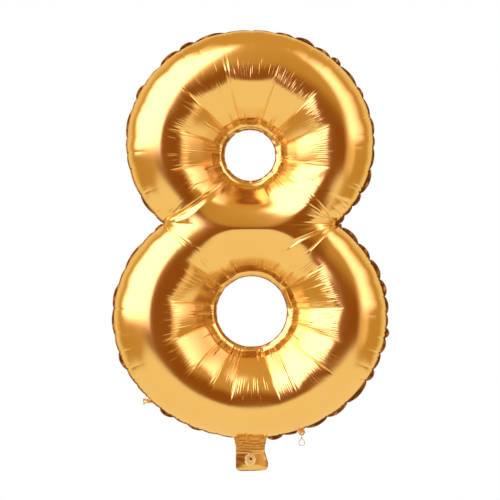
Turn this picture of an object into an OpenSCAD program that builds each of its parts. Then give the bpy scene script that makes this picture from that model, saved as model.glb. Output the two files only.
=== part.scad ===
// Foil number balloon, an inflated figure eight.
// Frame: X to the right, Y to the back, Z up. The origin is the middle of the tail's neck.
// The two loops lie one above the other, and both films meet in the plane Y = 0.

/* [Envelope] */
// Width of the upper loop over its sealed margin
upper_w = 219; // [210:1:226]
// Height of the upper loop over its sealed margin
upper_h = 200; // [196:1:204]
// Height of the upper loop's centre above the neck
upper_z = 266; // [264:1:270]
// Width of the lower loop over its sealed margin
lower_w = 242; // [236:1:250]
// Height of the lower loop over its sealed margin
lower_h = 214; // [210:1:218]
// Height of the lower loop's centre above the neck
lower_z = 114.5; // [112:0.5:117]
// Depth of a tube's bulge on one side, as a share of its width
bulge = 0.37; // [0.3:0.01:0.42]
// Height of the crossing between the loops above the middle plane
waist_h = 29; // [24:0.5:32]
// Where a tube's crest lies, from its inner seam (0) to its outer seam (1)
crest_at = 0.59; // [0.55:0.01:0.62]

/* [Holes] */
// Clear radius of the upper hole
upper_hole_r = 22; // [19:0.5:25]
// Height of the upper hole's centre above the neck
upper_hole_z = 255.5; // [252:0.5:258]
// Clear radius of the lower hole
lower_hole_r = 30.5; // [28:0.5:32]
// Height of the lower hole's centre above the neck
lower_hole_z = 119.5; // [116:0.5:123]
// Sideways offset of the lower hole
lower_hole_x = 1.5; // [-3:0.5:3]

/* [Seams] */
// Width of the sealed margin round the outside
seam_w = 4; // [3:0.25:4.5]
// Width of the sealed ring round the upper hole
upper_ring_w = 3; // [2:0.25:4]
// Width of the sealed ring round the lower hole
lower_ring_w = 2.5; // [2:0.25:4.5]
// Thickness given to one sheet of film
film_t = 0.3; // [0.25:0.05:0.4]

/* [Tail] */
// Width of the neck
neck_w = 24.5; // [23:0.5:28]
// Furthest reach of the flared right edge from the middle
flare_x = 15.5; // [13:0.5:17]
// Length of the tail below the neck
tail_len = 19; // [17:0.5:24]
// Radius of the tail's bottom corners
tail_corner_r = 4; // [2:0.5:5]
// Diameter of the patch round the inflation hole
port_d = 9.6; // [8:0.2:11]
// Radius of the inflation hole
port_r = 1.2; // [1:0.1:2]
// Depth of the inflation hole's centre below the neck
port_drop = 9.3; // [8.5:0.1:10]
// Thickness of the patch
port_t = 0.5; // [0.3:0.1:1]

/* [Valve] */
// Width of the two valve films
valve_w = 19; // [16:0.5:20]
// Top end of the valve films inside the envelope
valve_top = 68; // [40:1:72]
// Lower end of the valve films inside the tail, just above the inflation hole
valve_foot = -7; // [-7.5:0.5:-4]
// Thickness given to one valve film
valve_t = 0.15; // [0.1:0.05:0.15]
// Width of the heat-proof print that keeps the channel open
print_w = 11; // [8:0.5:14]

/* [Hanging tabs] */
// Sideways place of the left tab's centre
left_tab_x = -88.5; // [-92:0.5:-84]
// Sideways place of the right tab's centre
right_tab_x = 45; // [40:0.5:50]
// Radius of the punched hole in each tab
eyelet_r = 0.75; // [0.7:0.05:0.8]
// Thread diameter
thread_d = 0.6; // [0.4:0.1:0.7]
// Outside diameter of the hanging loop
loop_d = 6.1; // [5:0.1:7]

/* [Hidden] */

gold = [0.83, 0.58, 0.24];
deep_gold = [0.62, 0.36, 0.10];
pale_gold = [0.93, 0.74, 0.42];
clear_film = [0.86, 0.86, 0.84];
white_print = [0.95, 0.94, 0.90];
thread_white = [0.90, 0.86, 0.76];

arc_steps = 44;     // outline steps round the free side of a loop
waist_steps = 12;   // steps along the line where the loops join
rise_steps = 10;    // steps from inner seam to outer seam
loop_steps = arc_steps + waist_steps;
film_gap = 0.2;     // half the room between the two films, which the valve fills
flat_t = 2 * (film_gap + film_t);
joint_gap = 1.0;    // tail film starts this far below the fold line
valve_play = 0.025; // room on each side of the valve pack
passage_play = 0.3; // room beside the valve films in the neck
passage_top = 19;   // the valve passage ends inside the envelope
passage_foot = -1;
neck_flare = 6;     // how much wider the neck is on each side where it meets the envelope
neck_top = 15;
neck_knee = 9;      // height where the neck starts to widen fast
print_top = 16;     // the print ends above the sealed neck
pocket_play = 1;    // room for the valve films in the tail's pocket
foot_seal = 3;      // height of the sealed strip along the tail's foot
notch_r = 3.7;      // notch in the margin round each hanging tab
tab_t = 0.6;        // a tab is both films sealed together
left_tab_root = 2.9;
left_tab_tip = -4.6;
left_eyelet_x = -2.9;
right_tab_top = 2.7;
right_tab_foot = -3.3;
eyelet_drop = right_tab_foot + 0.55 + eyelet_r;
tie_r = 0.95;       // half the spread of the thread's link
tie_foot = 0.275;   // the link's turn lies this far above the tab's foot
knot_r = 0.65;
knot_drop = 2.6;    // from the link's turn down to the knot
loop_thread_d = 0.8;
loop_gap = 0.15;    // between knot and loop
shade = 1 - film_t / waist_h; // inner surface height as a share of the outer

// Seam ellipses, [half width, half height, centre height]
upper_seam = [upper_w / 2 - seam_w, upper_h / 2 - seam_w, upper_z];
lower_seam = [lower_w / 2 - seam_w, lower_h / 2 - seam_w, lower_z];
// Hole seams, [centre x, centre z, radius]
upper_ring = [0, upper_hole_z, upper_hole_r + upper_ring_w];
lower_ring = [lower_hole_x, lower_hole_z, lower_hole_r + lower_ring_w];

// Height at which two ellipses centred on X = 0 cross, from a1^2(1-((z-c1)/b1)^2) = a2^2(1-((z-c2)/b2)^2)
function cross_z(e, f) =
    let (qa = pow(f[0] / f[1], 2) - pow(e[0] / e[1], 2),
         qb = 2 * (pow(e[0] / e[1], 2) * e[2] - pow(f[0] / f[1], 2) * f[2]),
         qc = e[0] * e[0] - f[0] * f[0] - pow(e[0] * e[2] / e[1], 2) + pow(f[0] * f[2] / f[1], 2))
    2 * qc / (-qb - sign(qb) * sqrt(qb * qb - 4 * qa * qc));
function half_chord(e, z) = e[0] * sqrt(1 - pow((z - e[2]) / e[1], 2));

pinch_z = cross_z(upper_seam, lower_seam);
pinch_x = half_chord(upper_seam, pinch_z);

// Point i of a loop's edge: round the free side first, then along the waist line back to the start
function free_start(e) = asin((pinch_z - e[2]) / e[1]);
function upper_edge(i) =
    let (a0 = free_start(upper_seam), a = a0 + (180 - 2 * a0) * i / arc_steps)
    i <= arc_steps ? [upper_seam[0] * cos(a), upper_seam[2] + upper_seam[1] * sin(a)]
                   : [-pinch_x * cos(180 * (i - arc_steps) / waist_steps), pinch_z];
function lower_edge(i) =
    let (a0 = free_start(lower_seam), a = 180 - a0 + (180 + 2 * a0) * i / arc_steps)
    i <= arc_steps ? [lower_seam[0] * cos(a), lower_seam[2] + lower_seam[1] * sin(a)]
                   : [pinch_x * cos(180 * (i - arc_steps) / waist_steps), pinch_z];
function edge(loop, i) = loop == 0 ? upper_edge(i) : lower_edge(i);
function ring(loop) = loop == 0 ? upper_ring : lower_ring;
function dir_at(loop, i) =
    let (c = ring(loop), d = edge(loop, i) - [c[0], c[1]])
    d / norm(d);
function hole_pt(loop, i, inset = 0) =
    let (c = ring(loop))
    [c[0], c[1]] + (c[2] - inset) * dir_at(loop, i);

// Waist height: nothing at the pinches, full over the middle
function waist_rise(x) = waist_h * pow(max(0, 1 - pow(abs(x) / pinch_x, 3)), 0.6);
function end_rise(loop, i) = i <= arc_steps ? 0 : waist_rise(edge(loop, i)[0]);

// Section of a tube: a parabola up to the crest, then a quarter ellipse down to the outer seam
function tube_rise(t) =
    t < crest_at ? 1 - pow((crest_at - t) / crest_at, 2)
                 : sqrt(max(0, 1 - pow((t - crest_at) / (1 - crest_at), 2)));
// Section of the crossing: a parabola that ends level at the waist line
function bar_rise(t) = 1 - pow(1 - t, 2);
function film_rise(loop, i, t) =
    let (e = end_rise(loop, i), w = norm(edge(loop, i) - hole_pt(loop, i)))
    e * bar_rise(t) + bulge * w * (1 - e / waist_h) * tube_rise(t);

function spread(j) = let (t = j / rise_steps) 0.35 * t + 0.65 * (1 - cos(180 * t)) / 2;
function outer_pt(loop, i, t) =
    let (p = hole_pt(loop, i) * (1 - t) + edge(loop, i) * t)
    [p[0], -film_gap - film_rise(loop, i, t), p[1]];
// The inner surface starts one film thickness inside both seams
function inner_edge(loop, i) =
    i > arc_steps ? edge(loop, i)
    : (i == 0 || i == arc_steps) ? edge(loop, i) - [3 * film_t * sign(edge(loop, i)[0]), 0]
    : edge(loop, i) - film_t * dir_at(loop, i);
function inner_pt(loop, i, t) =
    let (p = (hole_pt(loop, i) + film_t * dir_at(loop, i)) * (1 - t) + inner_edge(loop, i) * t)
    [p[0], -film_gap - shade * film_rise(loop, i, t), p[1]];

// Point order: upper loop's rows, lower loop's rows, upper edge, lower free edge; then the inner surface
function row_pts(inner) = [
    for (loop = [0, 1], j = [0 : rise_steps - 1], i = [0 : loop_steps - 1])
        inner ? inner_pt(loop, i, spread(j)) : outer_pt(loop, i, spread(j))];
function edge_pts(inner) = concat(
    [for (i = [0 : loop_steps - 1]) inner ? inner_pt(0, i, 1) : outer_pt(0, i, 1)],
    [for (i = [1 : arc_steps - 1]) inner ? inner_pt(1, i, 1) : outer_pt(1, i, 1)]);
rows_n = rise_steps * loop_steps;
skin_n = 2 * rows_n + loop_steps + arc_steps - 1;
function wrap(i) = i % loop_steps;
function lower_edge_id(i) =
    i == 0 ? arc_steps
    : i < arc_steps ? loop_steps + i - 1
    : i == arc_steps ? 0
    : arc_steps + loop_steps - i;
function id(loop, i, j) =
    j < rise_steps ? loop * rows_n + j * loop_steps + wrap(i)
    : 2 * rows_n + (loop == 0 ? wrap(i) : lower_edge_id(wrap(i)));
function skin_faces(shift, flip) = [
    for (loop = [0, 1], i = [0 : loop_steps - 1], j = [0 : rise_steps - 1], half = [0, 1])
        let (a = id(loop, i, j), b = id(loop, i + 1, j), c = id(loop, i + 1, j + 1), d = id(loop, i, j + 1),
             f = half == 0 ? [a, b, c] : [a, c, d])
        (flip ? [f[2], f[1], f[0]] : f) + [shift, shift, shift]];
function wall_faces(loop, j, i0, i1, flip) = [
    for (i = [i0 : i1], half = [0, 1])
        let (a = id(loop, i, j), b = id(loop, i + 1, j), c = b + skin_n, d = a + skin_n,
             f = half == 0 ? [a, b, c] : [a, c, d])
        flip ? [f[2], f[1], f[0]] : f];

module panel() {
    polyhedron(
        points = concat(row_pts(false), edge_pts(false), row_pts(true), edge_pts(true)),
        faces = concat(
            skin_faces(0, true), skin_faces(skin_n, false),
            wall_faces(0, 0, 0, loop_steps - 1, false), wall_faces(1, 0, 0, loop_steps - 1, false),
            wall_faces(0, rise_steps, 0, arc_steps - 1, true),
            wall_faces(1, rise_steps, 0, arc_steps - 1, true)),
        convexity = 8);
}

// A flat sheet in the plane of the films: an XZ outline given thickness t about Y = y0
module sheet(t, y0 = 0) {
    translate([0, y0 + t / 2, 0])
        rotate([90, 0, 0])
            linear_extrude(height = t) children();
}

function ellipse_pts(e, grow, n) = [
    for (i = [0 : n - 1]) [(e[0] + grow) * cos(360 * i / n), e[2] + (e[1] + grow) * sin(360 * i / n)]];
envelope_pts = concat([for (i = [0 : arc_steps - 1]) upper_edge(i)],
                      [for (i = [0 : arc_steps - 1]) lower_edge(i)]);
rim_facets = 96;

function rim_z(x) = lower_z - lower_h / 2 * sqrt(1 - pow(2 * x / lower_w, 2));
left_tab_at = [left_tab_x, rim_z(left_tab_x)];
right_tab_at = [right_tab_x, rim_z(right_tab_x)];

module neck_outline() {
    half = neck_w / 2;
    polygon([[-half, joint_gap], [half, joint_gap], [half + 1.5, neck_knee], [half + neck_flare, neck_top],
             [-half - neck_flare, neck_top], [-half - 1.5, neck_knee]]);
}

module front_panel() {
    color(gold) panel();
}

module back_panel() {
    color(gold) mirror([0, 1, 0]) panel();
}

// Margin where the two foils are sealed together, with the neck that the valve passes through
module outer_seam() {
    color(pale_gold) difference() {
        union() {
            sheet(flat_t) polygon(ellipse_pts(upper_seam, seam_w, rim_facets));
            sheet(flat_t) polygon(ellipse_pts(lower_seam, seam_w, rim_facets));
            sheet(flat_t) neck_outline();
        }
        sheet(2 * flat_t) polygon(envelope_pts);
        translate([-valve_w / 2 - passage_play, -film_gap, passage_foot])
            cube([valve_w + 2 * passage_play, 2 * film_gap, passage_top - passage_foot]);
        for (at = [left_tab_at, right_tab_at])
            translate([at[0], flat_t, at[1]]) rotate([90, 0, 0]) cylinder(r = notch_r, h = 2 * flat_t, $fn = 48);
    }
}

// Sealed ring round a hole: outside it follows the film's inner edge with a hair's room, inside it is round
seal_room = 0.02;
module hole_seam(loop, clear_r) {
    c = ring(loop);
    color(pale_gold) difference() {
        sheet(flat_t) polygon([for (i = [0 : loop_steps - 1]) hole_pt(loop, i, seal_room)]);
        translate([c[0], flat_t, c[1]]) rotate([90, 0, 0]) cylinder(r = clear_r, h = 2 * flat_t, $fn = 96);
    }
}

module upper_hole_seam() {
    hole_seam(0, upper_hole_r);
}

module lower_hole_seam() {
    hole_seam(1, lower_hole_r);
}

module valve_strip(y0, t, w, z0, z1) {
    translate([-w / 2, y0, z0]) cube([w, t, z1 - z0]);
}

module valve_front_film() {
    color(clear_film) valve_strip(-film_gap + valve_play, valve_t, valve_w, valve_foot, valve_top);
}

module valve_back_film() {
    color(clear_film) valve_strip(film_gap - valve_play - valve_t, valve_t, valve_w, valve_foot, valve_top);
}

// Heat-proof print between the valve films, across the sealed neck
module valve_channel_print() {
    room = film_gap - valve_play - valve_t;
    color(white_print) valve_strip(-room, 2 * room, print_w, valve_foot, print_top);
}

// Outline of the tail below the fold: a straight left edge, a right edge that flares, round corners
module tail_outline() {
    left = -neck_w / 2;
    flare_z = -tail_len + tail_corner_r;
    polygon([[left, -joint_gap], [left, flare_z],
             for (a = [180 : 15 : 270]) [left + tail_corner_r * (1 + cos(a)), flare_z + tail_corner_r * sin(a)],
             for (a = [-90 : 15 : 30]) [flare_x - tail_corner_r * (1 - cos(a)), flare_z + tail_corner_r * sin(a)],
             [neck_w / 2 + 0.8, -6], [neck_w / 2, -joint_gap]]);
}

module tail_film(y0) {
    sheet(film_t, y0) tail_outline();
}

module port_bore() {
    translate([0, 0, -port_drop]) rotate([90, 0, 0]) cylinder(r = port_r, h = 8, $fn = 48);
}

module tail_front_film() {
    color(deep_gold) difference() {
        tail_film(-film_gap - film_t / 2);
        port_bore();
    }
}

module tail_back_film() {
    color(deep_gold) tail_film(film_gap + film_t / 2);
}

// Sealed sides and foot of the tail, which close the pocket that the valve opens into
module tail_edge_seal() {
    pocket_w = valve_w + pocket_play;
    pocket_foot = -tail_len + foot_seal;
    color(pale_gold) difference() {
        sheet(2 * film_gap) tail_outline();
        translate([-pocket_w / 2, -flat_t, pocket_foot]) cube([pocket_w, 2 * flat_t, tail_len]);
    }
}

module inflation_port() {
    face = -film_gap - film_t;
    color(pale_gold) difference() {
        translate([0, face, -port_drop]) rotate([90, 0, 0]) cylinder(d = port_d, h = port_t, $fn = 64);
        port_bore();
    }
}

// Film strip pinched in the middle, pointing left from its root in the notch
module left_hanging_tab() {
    color(gold) translate([left_tab_at[0], 0, left_tab_at[1]]) difference() {
        sheet(tab_t) polygon([[left_tab_root, 1.5], [0, 1.3], [left_tab_tip, 2.7], [left_tab_tip, -2.9],
                              [0, -1.5], [left_tab_root, -1.5]]);
        translate([left_eyelet_x, tab_t, 0]) rotate([90, 0, 0]) cylinder(r = eyelet_r, h = 2 * tab_t, $fn = 32);
    }
}

// Tab that narrows down to its punched hole
module right_hanging_tab() {
    color(gold) translate([right_tab_at[0], 0, right_tab_at[1]]) difference() {
        sheet(tab_t) polygon([[-2, right_tab_top], [2, right_tab_top], [2.6, 0], [3.3, -1.2], [1.6, right_tab_foot],
                              [-1.6, right_tab_foot], [-3.3, -1.2], [-2.6, 0]]);
        translate([0, tab_t, eyelet_drop]) rotate([90, 0, 0]) cylinder(r = eyelet_r, h = 2 * tab_t, $fn = 32);
    }
}

// Thread drawn through the tab's hole and knotted below it: a long link seen edge on from the front
tie_z = right_tab_at[1] + right_tab_foot + tie_foot;
module thread_tie() {
    leg = knot_drop - knot_r - 0.45;
    color(thread_white) translate([right_tab_at[0], 0, tie_z]) union() {
        rotate([0, 90, 0]) rotate([0, 0, 90])
            rotate_extrude(angle = 180, $fn = 48) translate([tie_r, 0]) circle(d = thread_d, $fn = 24);
        for (y = [-tie_r, tie_r])
            translate([0, y, -leg]) cylinder(d = thread_d, h = leg, $fn = 24);
        translate([-thread_d / 2, -tie_r - thread_d / 2, -leg - thread_d])
            cube([thread_d, 2 * tie_r + thread_d, thread_d]);
        translate([0, 0, -knot_drop]) sphere(r = knot_r, $fn = 32);
    }
}

// Loop of thread hanging from the knot
module thread_loop() {
    turn_r = (loop_d - loop_thread_d) / 2;
    color(thread_white)
        translate([right_tab_at[0], 0, tie_z - knot_drop - knot_r - loop_gap - loop_d / 2]) rotate([90, 0, 0])
            rotate_extrude($fn = 64) translate([turn_r, 0]) circle(d = loop_thread_d, $fn = 24);
}

front_panel();
back_panel();
outer_seam();
upper_hole_seam();
lower_hole_seam();
valve_front_film();
valve_back_film();
valve_channel_print();
tail_front_film();
tail_back_film();
tail_edge_seal();
inflation_port();
left_hanging_tab();
right_hanging_tab();
thread_tie();
thread_loop();
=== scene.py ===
import math
import bpy
import numpy as np
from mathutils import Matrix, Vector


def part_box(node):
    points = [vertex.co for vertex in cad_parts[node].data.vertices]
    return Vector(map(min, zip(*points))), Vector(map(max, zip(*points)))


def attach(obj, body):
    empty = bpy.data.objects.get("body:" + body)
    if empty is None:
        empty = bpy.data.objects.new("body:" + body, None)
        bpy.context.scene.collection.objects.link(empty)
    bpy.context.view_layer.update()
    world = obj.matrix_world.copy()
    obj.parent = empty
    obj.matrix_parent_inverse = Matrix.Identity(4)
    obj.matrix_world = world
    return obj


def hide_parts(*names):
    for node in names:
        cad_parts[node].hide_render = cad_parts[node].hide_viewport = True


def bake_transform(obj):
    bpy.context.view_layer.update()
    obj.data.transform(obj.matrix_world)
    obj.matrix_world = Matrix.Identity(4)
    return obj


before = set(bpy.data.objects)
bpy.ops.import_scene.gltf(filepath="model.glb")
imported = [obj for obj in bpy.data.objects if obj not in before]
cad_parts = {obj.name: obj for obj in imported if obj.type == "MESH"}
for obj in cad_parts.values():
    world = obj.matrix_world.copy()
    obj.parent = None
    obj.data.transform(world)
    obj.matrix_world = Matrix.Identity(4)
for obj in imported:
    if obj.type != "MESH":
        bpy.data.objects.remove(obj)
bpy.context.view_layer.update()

scene = bpy.context.scene
scene.view_settings.view_transform = "Standard"
mm = 0.001  # every shape below is worked out in millimetres and put into the mesh in metres


# the envelope's outline, shared by the panels and the seams
seamBox = [1000 * np.array(v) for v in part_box("outer_seam")]
upperHoleBox = [1000 * np.array(v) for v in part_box("upper_hole_seam")]
lowerHoleBox = [1000 * np.array(v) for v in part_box("lower_hole_seam")]

envelope = {
    "seamWidth": 2.3,     # how much of the sealed margin stands out; the rest is folded back
    "upperWidth": 219.0,
    "upperHeight": 200.0,
    "lowerHeight": 214.0,
    "lowerCentre": 114.5,
    "bulge": 0.358,        # depth of one side of a tube, as a share of its width
    "crestAt": 0.59,      # where the crest lies between inner and outer seam
    "arcSteps": 880,
    "waistSteps": 150,
    "footSteps": 12,      # grid steps from the hole seam over the foot and the shelf
    "panelSteps": 12,     # over the flat panels
    "rimSteps": 22,       # from there over the crest to the outer seam
    "filmGap": 0.2,
}


def makeLoops():
    # each loop: half axes a, b and centre height cz of its seam ellipse; hole centre hx, hz, seam radius hr
    e = envelope
    out = []
    upperCentre = seamBox[1][2] - e["upperHeight"] / 2
    for box, halfWidth, halfHeight, centre in (
        (upperHoleBox, e["upperWidth"] / 2, e["upperHeight"] / 2, upperCentre),
        (lowerHoleBox, seamBox[1][0], e["lowerHeight"] / 2, e["lowerCentre"]),
    ):
        out.append({
            "a": halfWidth - e["seamWidth"],
            "b": halfHeight - e["seamWidth"],
            "cz": centre,
            "hx": (box[0][0] + box[1][0]) / 2,
            "hz": (box[0][2] + box[1][2]) / 2,
            "hr": (box[1][0] - box[0][0]) / 2 + 0.1,
        })
    return out


upper, lower = makeLoops()


def findPinch():
    # height where the two seam ellipses have the same half width, by bisection
    def gap(z):
        # half width of the upper ellipse minus that of the lower one
        return (upper["a"] * math.sqrt(1 - ((z - upper["cz"]) / upper["b"]) ** 2)
                - lower["a"] * math.sqrt(1 - ((z - lower["cz"]) / lower["b"]) ** 2))
    lo, hi = upper["cz"] - upper["b"] + 1, lower["cz"] + lower["b"] - 1
    for _ in range(60):
        mid = (lo + hi) / 2
        if gap(mid) > 0:
            hi = mid
        else:
            lo = mid
    return upper["a"] * math.sqrt(1 - ((lo - upper["cz"]) / upper["b"]) ** 2), lo


pinchX, pinchZ = findPinch()


def smoothStep(lo, hi, v):
    # 0 below lo, 1 above hi, with a level start and end
    t = np.clip((v - lo) / (hi - lo), 0, 1)
    return t * t * (3 - 2 * t)


def wrapDegrees(a):
    # the same angle between -180 and 180
    return (np.asarray(a) + 180.0) % 360.0 - 180.0


def reachAt(loop, theta):
    # distance from the hole's centre to the seam ellipse along theta, the positive root of a quadratic
    c, s = np.cos(theta), np.sin(theta)
    x0, z0 = loop["hx"], loop["hz"] - loop["cz"]
    qa = (c / loop["a"]) ** 2 + (s / loop["b"]) ** 2
    qb = x0 * c / loop["a"] ** 2 + z0 * s / loop["b"] ** 2
    qc = (x0 / loop["a"]) ** 2 + (z0 / loop["b"]) ** 2 - 1
    return (-qb + np.sqrt(qb * qb - qa * qc)) / qa


# slope of the film from the hole seam (0) to the crest: narrow shelf, steep foot, flat panel, round crest
innerSlope = {
    "at": [0.0, 0.028, 0.038, 0.085, 0.10, 0.20, 0.30, 0.38, 0.47, 0.59],
    "slope": [0.6, 0.6, 1.2, 1.2, 0.95, 0.92, 0.80, 0.55, 0.2, 0.0],
}


def integrateSlope():
    # running sum of the slope, scaled so that it ends at 1
    t = np.linspace(0, envelope["crestAt"], 400)
    s = np.interp(t, innerSlope["at"], innerSlope["slope"])
    h = np.concatenate([[0], np.cumsum((s[1:] + s[:-1]) / 2)])
    return t, h / h[-1]


slopeT, slopeH = integrateSlope()


def tubeRise(t):
    # the summed slope up to the crest, then a quarter ellipse down to the outer seam, 0 outside
    k = envelope["crestAt"]
    outer = np.sqrt(np.clip(1 - ((t - k) / (1 - k)) ** 2, 0, None))
    return np.where(t < k, np.interp(t, slopeT, slopeH), outer) * (t > 0)


# creases of each loop: angle round the hole in degrees, outer end in mm from the hole's centre, sag in mm
creases = {
    "front": (
        [(107, 83, 0.9), (71, 83, 0.8), (135, 80, 0.7), (42, 78, 1.0), (161, 74, 0.8), (18, 74, 0.7),
         (193, 69, 0.9), (-11, 68, 0.9), (-33, 53, 0.5), (-67, 44, 0.3), (212, 62, 1.0), (232, 46, 0.3)],
        [(140, 70, 0.6), (171, 76, 0.9), (198, 82, 0.8), (222, 79, 1.0), (242, 76, 0.6), (256, 78, 0.7),
         (-73, 79, 0.8), (-58, 76, 0.6), (-37, 84, 1.0), (-17, 81, 0.7), (4, 78, 0.9), (35, 71, 0.8),
         (62, 52, 0.4), (112, 50, 0.4)],
    ),
    "back": (
        [(98, 82, 0.9), (66, 80, 0.8), (126, 82, 0.7), (38, 76, 1.0), (152, 76, 0.8), (11, 75, 0.7),
         (183, 70, 0.9), (-16, 66, 0.9), (-41, 52, 0.5), (-84, 46, 0.4), (206, 60, 0.9), (234, 48, 0.4)],
        [(134, 72, 0.7), (163, 77, 0.9), (190, 80, 0.8), (214, 81, 1.0), (236, 77, 0.6), (259, 76, 0.8),
         (-79, 78, 0.8), (-52, 78, 0.7), (-30, 82, 1.0), (-8, 80, 0.7), (16, 76, 0.9), (44, 68, 0.8),
         (70, 52, 0.4), (104, 52, 0.4)],
    ),
}

wrinkle = {
    "facet": 1.0,          # how flat the film lies between two creases, 0 round to 1 flat
    "pillow": (0.3, 1.6),  # least and greatest swelling of a panel
    "grooveDepth": 0.34,
    "grooveWidth": 0.9,
    "fringeDepth": 0.14,
    "fringeWidth": 0.55,
    "fringePitch": 1.9,    # mm between two hairlines
    "puckerDepth": 0.55,   # at the outer seam
    "puckerReach": 9.0,    # how far in from the seam a pucker runs
    "puckerWidth": 1.3,
    "scallop": 0.55,       # how far the film's rim is drawn in at a pucker
    "scallopPitch": 17.0,
}
margin = {"least": 0.5, "most": 3.4, "rightward": 0.3, "thickness": 0.36, "steps": 5, "curl": 0.4}


def facetData(creaseList, theta):
    # for each angle: the width of its facet in radians, its place along it from 0 to 1, and the reach and
    # sag there, blended from both creases
    order = sorted((a % 360.0, r, d) for a, r, d in creaseList)
    ang = np.array([o[0] for o in order])
    deg = np.degrees(theta) % 360.0
    k = np.searchsorted(ang, deg, side="right") - 1
    lo = ang[k % len(ang)]
    hi = ang[(k + 1) % len(ang)]
    span = (hi - lo) % 360.0
    u = ((deg - lo) % 360.0) / span
    reach = np.array([o[1] for o in order])
    sag = np.array([o[2] for o in order])
    reachHere = reach[k % len(ang)] * (1 - u) + reach[(k + 1) % len(ang)] * u
    sagHere = sag[k % len(ang)] * (1 - u) + sag[(k + 1) % len(ang)] * u
    return np.radians(span), u, reachHere, sagHere


def facetedRadius(creaseList, r, theta):
    # film between two straight creases lies flat, as if further out: r cos(off middle) / cos(half span)
    span, u, reach, sag = facetData(creaseList, theta)
    flat = np.cos((u - 0.5) * span) / np.cos(np.minimum(span, 0.75) / 2)
    flat = np.where(span > 0.75, 1.0, flat)
    weight = wrinkle["facet"] * (1 - smoothStep(0.72, 1.08, r / reach))
    return r * (1 + weight * (flat - 1)), reach, sag, weight


def pillow(creaseList, r, theta, reach, hr):
    # each panel swells a little by its own amount: sine along the radius times a flat-topped sine across
    rng = np.random.default_rng(len(creaseList) * 31 + int(creaseList[0][0]))
    size = rng.uniform(*wrinkle["pillow"], len(creaseList) + 1)
    span, u, _, _ = facetData(creaseList, theta)
    ang = np.sort(np.array([a % 360.0 for a, _, _ in creaseList]))
    k = np.searchsorted(ang, np.degrees(theta) % 360.0, side="right") % len(creaseList)
    v = np.clip((r - hr) / (reach - hr), 0, 1)
    across = np.sin(np.pi * np.clip(u, 0, 1)) ** 0.5
    return size[k] * np.sin(np.pi * v) * across * np.where(span > 0.8, 0.3, 1.0)


def loopHeight(loop, x, z, creaseList=None):
    # height of one loop's tube over the middle plane, with its facets when a crease list is given
    dx, dz = x - loop["hx"], z - loop["hz"]
    r = np.hypot(dx, dz)
    theta = np.arctan2(dz, dx)
    w = reachAt(loop, theta) - loop["hr"]
    extra = 0.0
    if creaseList is not None:
        rho, reach, sag, weight = facetedRadius(creaseList, r, theta)
        near = smoothStep(loop["hr"], loop["hr"] + 14, r)
        extra = -sag * weight * near + pillow(creaseList, r, theta, reach, loop["hr"])
        r = rho
    t = (r - loop["hr"]) / w
    return np.clip(envelope["bulge"] * w * tubeRise(t) + extra * (t > 0), 0, None)


def outlineDepth(x, z):
    # rough distance in from the outer seam, the larger of the two ellipses' own
    out = []
    for loop in (upper, lower):
        g = 1 - np.sqrt((x / loop["a"]) ** 2 + ((z - loop["cz"]) / loop["b"]) ** 2)
        out.append(g * (loop["a"] + loop["b"]) / 2)
    return np.clip(np.maximum(out[0], out[1]), 0, None)


def holeDepth(x, z):
    # distance out from the nearer hole seam
    return np.clip(np.minimum(np.hypot(x - upper["hx"], z - upper["hz"]) - upper["hr"],
                              np.hypot(x - lower["hx"], z - lower["hz"]) - lower["hr"]), 0, None)


def pathDistance(path, x, z):
    # nearest distance to a polyline, the signed side of it, and the share of its length there
    path = np.array(path, float)
    seg = np.diff(path, axis=0)
    length = np.hypot(seg[:, 0], seg[:, 1])
    start = np.concatenate([[0], np.cumsum(length)])
    best = np.full(x.shape, 1e9)
    side = np.zeros(x.shape)
    along = np.zeros(x.shape)
    for k in range(len(seg)):
        ax, az = path[k]
        ux, uz = seg[k] / length[k]
        t = np.clip((x - ax) * ux + (z - az) * uz, 0, length[k])
        d = np.hypot(x - ax - t * ux, z - az - t * uz)
        cross = ux * (z - az) - uz * (x - ax)
        closer = d < best
        best = np.where(closer, d, best)
        side = np.where(closer, np.sign(cross), side)
        along = np.where(closer, (start[k] + t) / start[-1], along)
    return best, side, along


# the crossing: a tube that runs from the lower loop's left side up to the upper loop's right side
crossing = {
    "path": [(-79, 100), (-82, 122), (-79, 141), (-70, 157), (-59, 170), (-46, 180), (-30, 187), (-10, 190),
             (10, 191), (28, 194), (44, 200), (58, 209), (68, 222), (73, 238), (74, 256), (70, 276)],
    "halfWidth": 43.0,
    "height": 24.0,
    "holeReach": 41.0,     # the film climbs from a hole seam to the crossing over this distance
    "sharpness": 9.0,
}
leftValley = {
    "path": [(-77, 196), (-58, 205), (-38, 219), (-17, 236)],
    "depth": 3.0, "above": 2.6, "below": 6.0, "easeFrom": 0.55,
}
rightValley = {
    "path": [(74, 196), (60, 190), (42, 182), (27, 171), (16, 157)],
    "depth": 0.9, "above": 1.8, "below": 2.2, "easeFrom": 0.5,
}


def crossingHeight(x, z, mirror):
    # elliptic tube round the crossing's path, let down to nothing at the outer and hole seams
    d, _, along = pathDistance([(mirror * px, pz) for px, pz in crossing["path"]], x, z)
    rise = crossing["height"] * np.sqrt(np.clip(1 - (d / crossing["halfWidth"]) ** 4, 0, None))
    rise = rise * smoothStep(-0.04, 0.34, along) * (1 - smoothStep(0.72, 1.04, along))
    rim = np.sqrt(np.clip(1 - (1 - np.minimum(outlineDepth(x, z) / 17, 1)) ** 2, 0, None))
    hole = 1 - (1 - np.minimum(holeDepth(x, z) / crossing["holeReach"], 1)) ** 1.35
    return rise * rim * hole


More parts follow.
